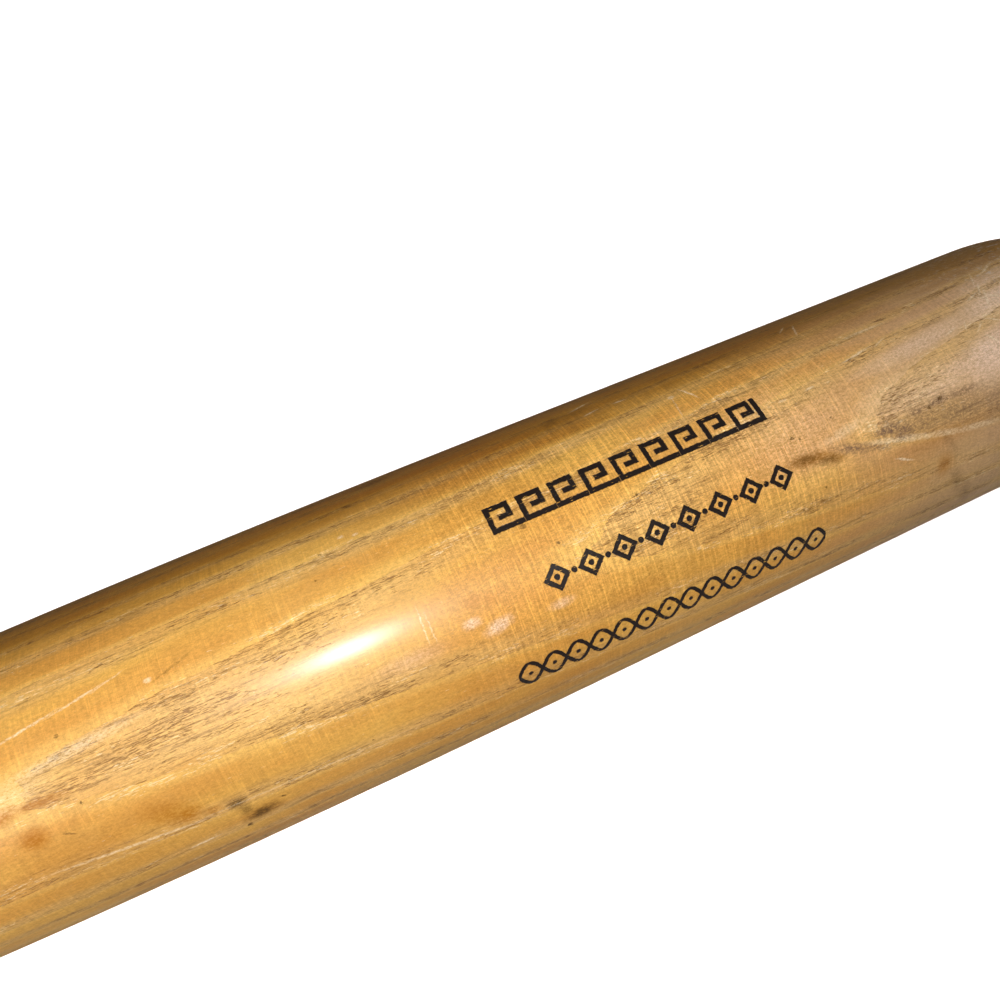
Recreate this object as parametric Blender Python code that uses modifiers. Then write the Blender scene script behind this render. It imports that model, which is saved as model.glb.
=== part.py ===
"""Wooden youth baseball bat: one turned ash billet, with cloth tape wound on its handle.

The bat lies along +X, with the middle of the knob's flat end face at the origin and +Z up.
Each piece is modelled standing along its own Z axis, and an empty lays them all down together.
Lengths are in metres.
"""

import math

import bmesh
import bpy
import numpy as np

# Overall sizes of the billet
LENGTH = 0.762
BARREL_DIAMETER = 0.05715
HANDLE_DIAMETER = 0.0248

# Knob, from its flat end face towards the handle
KNOB_DIAMETER = 0.0460
KNOB_FACE_DIAMETER = 0.0240
KNOB_FRONT_ROUND = 0.0080
KNOB_RIM_WIDTH = 0.0010
KNOB_BACK_ROUND = 0.0080
KNOB_BACK_DROP = 0.0050
FLARE_LENGTH = 0.0220

# Straight handle, taper and barrel
HANDLE_END = 0.190
BARREL_LENGTH = 0.142
TAPER_HANDLE_EASE = 0.67
TAPER_BARREL_EASE = 0.65

# Rounded tip, a superellipse
TIP_ROUND_LENGTH = 0.033
TIP_ROUND_POWER = 2.3

# Cloth tape: one strip, wound from the knob towards the barrel with each turn lapped on the last
TAPE_SETBACK = 0.010
TAPED_LENGTH = 0.260
TAPE_WIDTH = 0.019
TAPE_PITCH = 0.015
TAPE_THICKNESS = 0.0005
TAPE_TURN_GAP = 0.00045

# Finishing band: two straight layers that hold the last turn down
BAND_WIDTH = 0.0250
BAND_OVERLAP = 0.0120
BAND_THICKNESS = 0.0009
BAND_STEP_LENGTH = 0.0015

# Clearance between pieces that touch
SEAT_CLEARANCE = 0.0003

# Facets round the axis, shared by all pieces so that their flats lie parallel
SEGMENTS = 36

# Points along each stretch of the turned profile
KNOB_POINTS = 7
FLARE_POINTS = 8
TAPER_POINTS = 26
TIP_POINTS = 12

MERGE_DISTANCE = 0.00001

# Sizes that follow from the ones above
BARREL_RADIUS = BARREL_DIAMETER / 2
HANDLE_RADIUS = HANDLE_DIAMETER / 2
KNOB_RADIUS = KNOB_DIAMETER / 2
KNOB_FACE_RADIUS = KNOB_FACE_DIAMETER / 2
KNOB_THICKNESS = KNOB_FRONT_ROUND + KNOB_RIM_WIDTH + KNOB_BACK_ROUND
TAPE_START = KNOB_THICKNESS + TAPE_SETBACK
TAPE_STEPS = round(SEGMENTS * (TAPED_LENGTH - TAPE_WIDTH) / TAPE_PITCH)
TAPE_TURNS = TAPE_STEPS / SEGMENTS
TAPE_END = TAPE_START + TAPE_TURNS * TAPE_PITCH + TAPE_WIDTH
TAPE_LAP_RISE = (TAPE_THICKNESS + TAPE_TURN_GAP) * TAPE_WIDTH / TAPE_PITCH


def quarter_angles(count):
    """Return evenly spaced angles over a quarter turn, both ends included."""
    return np.linspace(0.0, math.pi / 2, count)


def knob_points():
    """Return station and radius along the knob, from its end face to its steepest point at the back."""
    angles = quarter_angles(KNOB_POINTS)
    front_station = KNOB_FRONT_ROUND * (1 - np.cos(angles))
    front_radius = KNOB_FACE_RADIUS + (KNOB_RADIUS - KNOB_FACE_RADIUS) * np.sin(angles)
    back_station = KNOB_FRONT_ROUND + KNOB_RIM_WIDTH + KNOB_BACK_ROUND * np.sin(angles)
    back_radius = KNOB_RADIUS - KNOB_BACK_DROP * (1 - np.cos(angles))
    return np.column_stack((
        np.concatenate(((0.0,), front_station, back_station)),
        np.concatenate(((0.0,), front_radius, back_radius)),
    ))


def flare_points():
    """Return the hollow flare that runs from the knob's back into the handle."""
    angles = quarter_angles(FLARE_POINTS)[1:]
    fall = KNOB_RADIUS - KNOB_BACK_DROP - HANDLE_RADIUS
    station = KNOB_THICKNESS + FLARE_LENGTH * (1 - np.cos(angles))
    radius = HANDLE_RADIUS + fall * (1 - np.sin(angles))
    return np.column_stack((station, radius))


def taper_points():
    """Return the long taper, a cubic curve that leaves the handle and meets the barrel level."""
    share = np.linspace(0.0, 1.0, TAPER_POINTS)
    rest = 1 - share
    taper_length = LENGTH - BARREL_LENGTH - HANDLE_END
    handle_pull = HANDLE_END + TAPER_HANDLE_EASE * taper_length
    barrel_pull = HANDLE_END + (1 - TAPER_BARREL_EASE) * taper_length
    station = (
        rest ** 3 * HANDLE_END
        + 3 * rest ** 2 * share * handle_pull
        + 3 * rest * share ** 2 * barrel_pull
        + share ** 3 * (HANDLE_END + taper_length)
    )
    blend = share ** 2 * (3 - 2 * share)
    radius = HANDLE_RADIUS + (BARREL_RADIUS - HANDLE_RADIUS) * blend
    return np.column_stack((station, radius))


def tip_points():
    """Return the rounded tip, from full diameter to the middle of the end."""
    angles = quarter_angles(TIP_POINTS)
    power = 2 / TIP_ROUND_POWER
    station = LENGTH - TIP_ROUND_LENGTH * (1 - np.sin(angles) ** power)
    radius = BARREL_RADIUS * np.cos(angles) ** power
    radius[-1] = 0.0
    return np.column_stack((station, radius))


def body_points():
    """Return the billet's whole profile as station and radius, from the knob's face to the tip."""
    return np.concatenate((knob_points(), flare_points(), taper_points(), tip_points()))


PROFILE = body_points()


def wood_radius(station):
    """Return the billet's radius at a station past the knob's face."""
    return np.interp(station, PROFILE[1:, 0], PROFILE[1:, 1])


def tape_rise(turn, along):
    """Return how far the strip's underside stands off its seat, at a place across its width.

    The first turn starts flat on the wood. After it, the knob-side edge of each turn
    rides over the turn before, and the barrel-side edge lies on the wood.
    """
    return TAPE_LAP_RISE * np.minimum(turn, 1.0) * (1 - along / TAPE_WIDTH)


def tape_radius(turn, along, height):
    """Return the strip's radius at a turn, a place across its width and a height in its thickness."""
    station = TAPE_START + turn * TAPE_PITCH + along
    return wood_radius(station) + SEAT_CLEARANCE + tape_rise(turn, along) + height


def make_material(name, colour, roughness):
    """Return a plain Principled material."""
    material = bpy.data.materials.new(name)
    material.use_nodes = True
    shader = material.node_tree.nodes["Principled BSDF"]
    shader.inputs["Base Color"].default_value = (*colour, 1.0)
    shader.inputs["Roughness"].default_value = roughness
    shader.inputs["Metallic"].default_value = 0.0
    return material


def add_object(name, mesh, material, collection, axis):
    """Link a mesh as an object of the bat, laid down by the shared axis empty."""
    mesh.materials.append(material)
    piece = bpy.data.objects.new(name, mesh)
    piece.parent = axis
    collection.objects.link(piece)
    return piece


def add_turned(name, profile, closed, material, collection, axis):
    """Turn a profile of (station, radius) points, given from the tip's side downwards."""
    bm = bmesh.new()
    verts = [bm.verts.new((radius, 0.0, station)) for station, radius in profile]
    for first, second in zip(verts, verts[1:]):
        bm.edges.new((first, second))
    if closed:
        bm.edges.new((verts[-1], verts[0]))
    mesh = bpy.data.meshes.new(name)
    bm.to_mesh(mesh)
    bm.free()
    piece = add_object(name, mesh, material, collection, axis)
    screw = piece.modifiers.new("Turn", "SCREW")
    screw.axis = "Z"
    screw.angle = 2 * math.pi
    screw.steps = SEGMENTS
    screw.render_steps = SEGMENTS
    screw.use_smooth_shade = True
    screw.use_merge_vertices = True
    screw.merge_threshold = MERGE_DISTANCE
    return piece


def add_body(collection, axis):
    """Add the turned billet: knob, handle, taper, barrel and rounded tip in one piece of wood."""
    material = make_material("lacquered_ash", (0.58, 0.33, 0.11), 0.32)
    return add_turned("bat_body", PROFILE[::-1], False, material, collection, axis)


def add_grip_tape(collection, axis):
    """Add the grip tape: one strip wound in a rising spiral, each turn lapped on the last.

    The strip's section is spun round the axis as it climbs, then every point is moved
    in or out to lie on the wood or on the turn below it.
    """
    bm = bmesh.new()
    along_layer = bm.verts.layers.float.new("along")
    height_layer = bm.verts.layers.float.new("height")
    corners = (
        (0.0, 0.0),
        (TAPE_WIDTH, 0.0),
        (TAPE_WIDTH, TAPE_THICKNESS),
        (0.0, TAPE_THICKNESS),
    )
    section = []
    for along, height in corners:
        vert = bm.verts.new((HANDLE_RADIUS + height, 0.0, TAPE_START + along))
        vert[along_layer] = along
        vert[height_layer] = height
        section.append(vert)
    edges = [bm.edges.new((section[i - 1], section[i])) for i in range(len(section))]
    bmesh.ops.spin(
        bm,
        geom=section + edges,
        cent=(0.0, 0.0, 0.0),
        axis=(0.0, 0.0, 1.0),
        dvec=(0.0, 0.0, TAPE_PITCH / SEGMENTS),
        angle=TAPE_TURNS * 2 * math.pi,
        steps=TAPE_STEPS,
        use_merge=False,
        use_duplicate=False,
    )
    for vert in bm.verts:
        turn = (vert.co.z - TAPE_START - vert[along_layer]) / TAPE_PITCH
        radius = tape_radius(turn, vert[along_layer], vert[height_layer])
        angle = math.atan2(vert.co.y, vert.co.x)
        vert.co.x = radius * math.cos(angle)
        vert.co.y = radius * math.sin(angle)
    open_edges = [edge for edge in bm.edges if edge.is_boundary]
    bmesh.ops.holes_fill(bm, edges=open_edges, sides=len(corners))
    bmesh.ops.recalc_face_normals(bm, faces=bm.faces)
    mesh = bpy.data.meshes.new("grip_tape")
    bm.to_mesh(mesh)
    bm.free()
    mesh.shade_smooth()
    mesh.set_sharp_from_angle(angle=math.radians(35))
    material = make_material("grip_cloth", (0.030, 0.028, 0.026), 0.90)
    return add_object("grip_tape", mesh, material, collection, axis)


def add_end_band(collection, axis):
    """Add the finishing band: its knob side holds the last turn, its barrel side lies on the wood."""
    material = make_material("band_cloth", (0.034, 0.032, 0.030), 0.88)
    start = TAPE_END - BAND_OVERLAP
    step = TAPE_END + SEAT_CLEARANCE
    stop = start + BAND_WIDTH
    on_tape = TAPE_THICKNESS + 2 * SEAT_CLEARANCE
    inner = (
        (stop, wood_radius(stop) + SEAT_CLEARANCE),
        (step + BAND_STEP_LENGTH, wood_radius(step + BAND_STEP_LENGTH) + SEAT_CLEARANCE),
        (step, wood_radius(step) + on_tape),
        (start, wood_radius(start) + on_tape + tape_rise(1.0, TAPE_WIDTH - BAND_OVERLAP)),
    )
    outer = [(station, radius + BAND_THICKNESS) for station, radius in inner]
    return add_turned("grip_end_band", outer + list(reversed(inner)), True, material, collection, axis)


def least_tape_gap(samples=25):
    """Measure the least distance between each turn of the tape and the next, on points across both."""
    across = np.linspace(0.0, TAPE_WIDTH, samples)
    least = math.inf
    for step in range(TAPE_STEPS - SEGMENTS + 1):
        lower_turn = step / SEGMENTS
        upper_turn = lower_turn + 1
        lower_station = TAPE_START + lower_turn * TAPE_PITCH + across
        upper_station = TAPE_START + upper_turn * TAPE_PITCH + across
        lower_radius = tape_radius(lower_turn, across, TAPE_THICKNESS)
        upper_radius = tape_radius(upper_turn, across, 0.0)
        apart = np.hypot(
            lower_station[:, None] - upper_station[None, :],
            lower_radius[:, None] - upper_radius[None, :],
        )
        least = min(least, apart.min())
    return least * math.cos(math.pi / SEGMENTS)


def main():
    """Clear the scene and build the bat."""
    for old in list(bpy.data.objects):
        bpy.data.objects.remove(old, do_unlink=True)
    collection = bpy.data.collections.new("Baseball bat")
    bpy.context.scene.collection.children.link(collection)
    axis = bpy.data.objects.new("bat_axis", None)
    axis.rotation_mode = "ZYX"
    axis.rotation_euler = (0.0, math.pi / 2, math.pi / SEGMENTS)
    collection.objects.link(axis)
    add_body(collection, axis)
    add_grip_tape(collection, axis)
    add_end_band(collection, axis)
    print(f"grip tape: {TAPE_TURNS:.2f} turns, least gap between turns {least_tape_gap() * 1000:.3f} mm")


main()
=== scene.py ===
"""Finish of a wooden baseball bat: lacquered ash, wound cloth tape and a plain studio.

The file is laid out as a Blender add-on and is run as a script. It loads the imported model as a
fixed frame, makes the fine pieces that stand for its nodes, and adds the floor, lights and camera.

Lengths are in metres, and the bat lies along +X with +Z up. A place on the wood is given by its
station, in millimetres from the knob's end face, and its angle, in degrees round the bat from
the front (-Y) up over the top (+Z).
"""
import bisect
import math
from functools import partialmethod

import bmesh
import bpy
from bpy.props import FloatProperty, FloatVectorProperty, IntProperty, PointerProperty
from mathutils import Matrix, Vector, noise


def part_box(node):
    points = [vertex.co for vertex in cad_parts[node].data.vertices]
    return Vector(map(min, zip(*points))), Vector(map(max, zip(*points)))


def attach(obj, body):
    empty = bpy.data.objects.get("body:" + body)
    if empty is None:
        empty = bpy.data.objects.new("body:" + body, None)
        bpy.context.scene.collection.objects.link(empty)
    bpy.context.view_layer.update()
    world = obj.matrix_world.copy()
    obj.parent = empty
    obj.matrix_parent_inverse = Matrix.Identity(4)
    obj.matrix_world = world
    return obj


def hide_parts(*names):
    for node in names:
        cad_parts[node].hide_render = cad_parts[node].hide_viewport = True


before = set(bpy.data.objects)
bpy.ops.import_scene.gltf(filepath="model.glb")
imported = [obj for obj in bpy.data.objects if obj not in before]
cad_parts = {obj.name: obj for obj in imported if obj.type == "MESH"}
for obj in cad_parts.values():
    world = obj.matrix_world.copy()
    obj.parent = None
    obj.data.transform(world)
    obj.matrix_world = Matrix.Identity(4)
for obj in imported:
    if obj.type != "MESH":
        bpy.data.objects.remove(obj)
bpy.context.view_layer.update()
wood_low, wood_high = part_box("bat_body")
tape_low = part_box("grip_tape")[0]
band_low, band_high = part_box("grip_end_band")

bl_info = {
    "name": "Wooden Bat Finish",
    "version": (1, 0, 0),
    "blender": (4, 5, 0),
    "location": "3D View > Sidebar > Bat",
    "description": "Adds lacquered ash, wound grip tape and a plain studio to the packed bat",
    "category": "Object",
}

MILLIMETRES = 1000.0
BARREL_RADIUS_MM = 28.5
BARREL_MM_PER_DEGREE = math.radians(BARREL_RADIUS_MM)
CLOSE = 1e-6


def size(name, text, default):
    """Return a length property, in metres."""
    return FloatProperty(name=name, description=text, default=default, min=0.0, unit="LENGTH", precision=5)


def watts(name, text, default):
    """Return the power of a light, in watts."""
    return FloatProperty(name=name, description=text, default=default, min=0.0, unit="POWER")


def bearing(name, text, default):
    """Return an angle property, in radians."""
    return FloatProperty(name=name, description=text, default=default, subtype="ANGLE")


def number(name, text, default):
    """Return a plain property that isn't negative."""
    return FloatProperty(name=name, description=text, default=default, min=0.0)


def colour(name, text, default):
    """Return a colour property."""
    return FloatVectorProperty(
        name=name, description=text, default=default, size=3, min=0.0, max=1.0, subtype="COLOR"
    )


class BatWoodSettings(bpy.types.PropertyGroup):
    """Sizes and colours of the turned billet."""

    length: size("Length", "Whole bat, from the knob's face to the tip", wood_high.x - wood_low.x)
    barrel_diameter: size("Barrel Diameter", "Widest part of the bat", 0.05715)
    handle_diameter: size("Handle Diameter", "Thinnest part of the bat", 0.0248)
    knob_diameter: size("Knob Diameter", "Widest part of the knob", 0.0460)
    knob_face_diameter: size("Knob Face Diameter", "Flat end face of the knob", 0.0240)
    knob_front_round: size("Knob Front Round", "Length of the rounding at the end face", 0.0080)
    knob_rim_width: size("Knob Rim Width", "Straight rim of the knob", 0.0010)
    knob_back_round: size("Knob Back Round", "Length of the rounding towards the handle", 0.0080)
    knob_back_drop: size("Knob Back Drop", "Height of the rounding towards the handle", 0.0050)
    flare_length: size("Flare Length", "Hollow curve between knob and handle", 0.0220)
    handle_end: size("Handle End", "Station where the handle starts to widen", 0.190)
    barrel_length: size("Barrel Length", "Barrel and tip, past the taper", 0.142)
    tip_round_length: size("Tip Round Length", "Length of the rounded tip", 0.033)
    unevenness: size("Unevenness", "How far the sanded surface wanders", 0.00010)
    facets: IntProperty(name="Facets", description="Facets round the bat", default=160, min=12)
    gold: colour("Gold", "Pale summer wood under lacquer", (0.650, 0.356, 0.073))
    amber: colour("Amber", "Deep summer wood under lacquer", (0.580, 0.276, 0.052))
    spring: colour("Spring Wood", "Open, porous spring wood", (0.600, 0.362, 0.122))
    straw: colour("Straw", "Bright line at the edge of a ring", (0.760, 0.470, 0.130))
    pore: colour("Pore", "Dirt in the open pores", (0.158, 0.061, 0.011))
    # Painted highlight: pale dashes in the pores, which stand for glints of light on their lacquer
    painted_glint: colour("Painted Glint", "Painted glints of pores full of lacquer", (0.92, 0.72, 0.42))
    worn: colour("Worn", "Greyed wood where the lacquer is thin", (0.500, 0.340, 0.225))
    dusty: colour("Dusty", "Patches that are rubbed pale", (0.76, 0.55, 0.40))
    scuff: colour("Scuff", "Whitish scuffs at the tip", (0.66, 0.58, 0.48))
    scratch: colour("Scratch", "Fine pale scratches", (0.88, 0.72, 0.48))
    stain: colour("Stain", "Amber stains", (0.400, 0.140, 0.001))
    # Mauve of the bruises, also laid on as the painted reflection along the lower edge
    bruise_and_edge_reflection: colour("Bruise and Edge Reflection", "Mauve bruises and painted reflection along the lower edge", (0.180, 0.100, 0.058))
    # Dark dirt, which also gives the painted shade on the bare wood in the gaps by the tape
    grime_and_gap_shade: colour("Grime and Gap Shade", "Dark dirt in dents and stains, and painted shade by the tape", (0.085, 0.038, 0.005))
    # Painted shade: darker tints laid on the back and on the front of the barrel, which stand for the shade
    # on those sides
    painted_shade_behind: colour("Painted Shade Behind", "Painted shade on the back of the barrel", (0.56, 0.44, 0.19))
    painted_shade_in_front: colour("Painted Shade in Front", "Painted shade on the front of the barrel", (0.82, 0.80, 0.78))
    ornament: colour("Ornament", "Foil pressed into the barrel", (0.014, 0.009, 0.007))


class BatTapeSettings(bpy.types.PropertyGroup):
    """Sizes and colours of the wound tape and its finishing band."""

    width: size("Width", "Width of the tape", 0.019)
    pitch: size("Pitch", "Climb of one turn along the handle", 0.015)
    thickness: size("Thickness", "Thickness of the tape", 0.00055)
    lap_gap: size("Lap Gap", "Room between a turn and the one under it", 0.00015)
    seat_gap: size("Seat Gap", "Room between the tape and the wood", 0.00010)
    turns: number("Turns", "Turns of tape", round(36 * 0.241 / 0.015) / 36)
    end_cut: number("End Cut", "Turns over which the end of the tape is cut to a slant", 0.15)
    thread: size("Thread Spacing", "Distance between threads of the cloth", 0.00055)
    band_width: size("Band Width", "Width of the finishing band", 0.0250)
    band_lap: size("Band Lap", "How far the band lies over the tape", 0.0120)
    band_step: size("Band Step", "Length of the band's slope from the tape down to the wood", 0.0016)
    band_thickness: size("Band Thickness", "Thickness of one layer of the band", 0.00042)
    band_layers: number("Band Layers", "Layers of the band, with its short overlap", 2.1)
    cloth: colour("Cloth", "Tarred cotton", (0.018, 0.017, 0.016))
    rubbed: colour("Rubbed", "Cloth rubbed by hands at its edges", (0.085, 0.078, 0.070))
    gap: colour("Gap", "Shade between the threads", (0.008, 0.008, 0.008))


class BatStageSettings(bpy.types.PropertyGroup):
    """Floor, lights and camera."""

    floor_size: size("Floor Size", "Side of the floor", 6.0)
    floor_colour: colour("Floor Colour", "Plain pale floor", (0.86, 0.86, 0.85))
    key_power: watts("Key Power", "Power of the main light", 0.91)
    key_distance: size("Key Distance", "Distance of the main light", 0.25)
    fill_power: watts("Fill Power", "Power of the light in front of the handle", 1.3)
    back_power: watts("Back Power", "Power of the light behind the bat", 0.4)
    glow_power: watts("Glow Power", "Power of the light that the floor gives back in front", 0.09)
    back_glow_power: watts("Back Glow Power", "Power of the light that the floor gives back behind", 1.8)
    tip_power: watts("Tip Power", "Power of the light at the tip", 1.6)
    knob_power: watts("Knob Power", "Power of the light at the knob", 0.9)
    floor_light: number("Floor Light", "Strength of the broad light that whitens the floor", 3.9)
    room_light: number("Room Light", "Strength of the light all round", 0.055)
    camera_place: FloatVectorProperty(
        name="Camera Place", description="Where the camera stands", size=3, subtype="TRANSLATION",
        default=(0.569, -0.057252, 0.146877),
    )
    camera_turn: bearing("Camera Turn", "Turn of the camera round Z", -0.44172696)
    camera_height: bearing("Camera Height", "Angle of the camera above the level", 1.06595469)
    camera_lens: number("Camera Lens", "Focal length on a 36 mm sensor, in millimetres", 27.036)


def ease(value):
    """Return a smooth step of a value, held to 0 below 0 and to 1 above 1."""
    value = min(max(value, 0.0), 1.0)
    return value * value * (3 - 2 * value)


def steps(first, last, count):
    """Return evenly spaced numbers from first to last, both included."""
    return [first + (last - first) * step / (count - 1) for step in range(count)]


# Places along the taper that its cubic curve leans towards, as shares of its length
TAPER_LEANS = (0.67, 0.35)
TIP_ROUND_POWER = 2.3


def wood_profile(wood):
    """Return the billet's profile as station and radius, from the middle of the knob's face to the tip."""
    barrel = wood.barrel_diameter / 2
    handle = wood.handle_diameter / 2
    rim = wood.knob_diameter / 2
    face = wood.knob_face_diameter / 2
    quarter = math.pi / 2
    points = [(0.0, face * part) for part in steps(0.0, 1.0, 9)[:-1]]
    for turn in steps(0.0, quarter, 20):
        points.append((wood.knob_front_round * (1 - math.cos(turn)), face + (rim - face) * math.sin(turn)))
    rim_end = wood.knob_front_round + wood.knob_rim_width
    for turn in steps(0.0, quarter, 16):
        drop = wood.knob_back_drop * (1 - math.cos(turn))
        points.append((rim_end + wood.knob_back_round * math.sin(turn), rim - drop))
    back = rim_end + wood.knob_back_round
    fall = rim - wood.knob_back_drop - handle
    for turn in steps(0.0, quarter, 24)[1:]:
        station = back + wood.flare_length * (1 - math.cos(turn))
        points.append((station, handle + fall * (1 - math.sin(turn))))
    for station in steps(back + wood.flare_length, wood.handle_end, 30)[1:-1]:
        points.append((station, handle))
    taper = wood.length - wood.barrel_length - wood.handle_end
    pulls = [wood.handle_end + lean * taper for lean in TAPER_LEANS]
    for part in steps(0.0, 1.0, 190):
        rest = 1 - part
        station = (
            rest ** 3 * wood.handle_end
            + 3 * rest ** 2 * part * pulls[0]
            + 3 * rest * part ** 2 * pulls[1]
            + part ** 3 * (wood.handle_end + taper)
        )
        points.append((station, handle + (barrel - handle) * ease(part)))
    straight_end = wood.length - wood.tip_round_length
    for station in steps(wood.handle_end + taper, straight_end, 70)[1:-1]:
        points.append((station, barrel))
    power = 2 / TIP_ROUND_POWER
    for turn in steps(0.0, quarter, 64):
        inset = 1 - math.sin(turn) ** power
        radius = barrel * max(math.cos(turn), 0.0) ** power
        points.append((wood.length - wood.tip_round_length * inset, radius))
    points[-1] = (wood.length, 0.0)
    return points


class WoodRadius:
    """The billet's radius at a station."""

    def __init__(self, wood):
        profile = [point for point in wood_profile(wood) if point[0] > 0.0]
        self.stations = [point[0] for point in profile]
        self.radii = [point[1] for point in profile]

    def __call__(self, station):
        index = bisect.bisect_left(self.stations, station)
        index = min(max(index, 1), len(self.stations) - 1)
        low, high = self.stations[index - 1], self.stations[index]
        part = (station - low) / max(high - low, CLOSE)
        return self.radii[index - 1] + (self.radii[index] - self.radii[index - 1]) * part


# Dents: station in mm, angle in degrees, radius in mm and depth in mm
DENTS = (
    (509.0, 61.0, 4.0, 0.10),
    (548.0, 12.0, 5.0, 0.12),
    (587.0, 50.0, 4.0, 0.03),
    (618.0, 123.0, 5.0, 0.15),
    (655.0, 61.0, 5.0, 0.10),
    (687.0, 30.0, 7.0, 0.16),
    (703.0, 108.0, 6.0, 0.20),
    (722.0, 84.0, 6.0, 0.22),
    (648.0, 205.0, 6.0, 0.18),
    (590.0, 240.0, 5.0, 0.16),
    (688.0, 265.0, 7.0, 0.20),
    (715.0, 320.0, 6.0, 0.20),
    (560.0, 300.0, 4.0, 0.12),
    (612.0, 170.0, 4.0, 0.14),
    (470.0, 220.0, 4.0, 0.12),
    (430.0, 60.0, 4.0, 0.10),
    (739.0, 150.0, 5.0, 0.20),
    (744.0, 30.0, 5.0, 0.20),
)


def dent_depth(station, angle, radius):
    """Return how deep the dents reach at a place on the wood, in metres."""
    depth = 0.0
    for dent_station, dent_angle, reach, deep in DENTS:
        along = station * MILLIMETRES - dent_station
        if abs(along) > reach:
            continue
        turn = (math.degrees(angle) - dent_angle + 180.0) % 360.0 - 180.0
        across = math.radians(turn) * radius * MILLIMETRES
        depth += deep * ease(1 - math.hypot(along, across) / reach)
    return depth / MILLIMETRES


def finish_mesh(bm, name, material, stands_for, sharp_angle=None):
    """Turn a bmesh into a smooth piece that rides on the bat and stands for a CAD node."""
    bmesh.ops.recalc_face_normals(bm, faces=bm.faces)
    mesh = bpy.data.meshes.new(name)
    bm.to_mesh(mesh)
    bm.free()
    mesh.materials.append(material)
    mesh.shade_smooth()
    if sharp_angle is not None:
        mesh.set_sharp_from_angle(angle=math.radians(sharp_angle))
    piece = bpy.data.objects.new(name, mesh)
    bpy.context.scene.collection.objects.link(piece)
    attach(piece, "root")
    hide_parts(stands_for)
    return piece


def rgba(colour_value):
    """Return a colour property as red, green, blue and alpha."""
    return (*colour_value, 1.0)


def label(name):
    """Return a socket's label for a name in the code."""
    return name.replace("_", " ").title()


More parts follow.
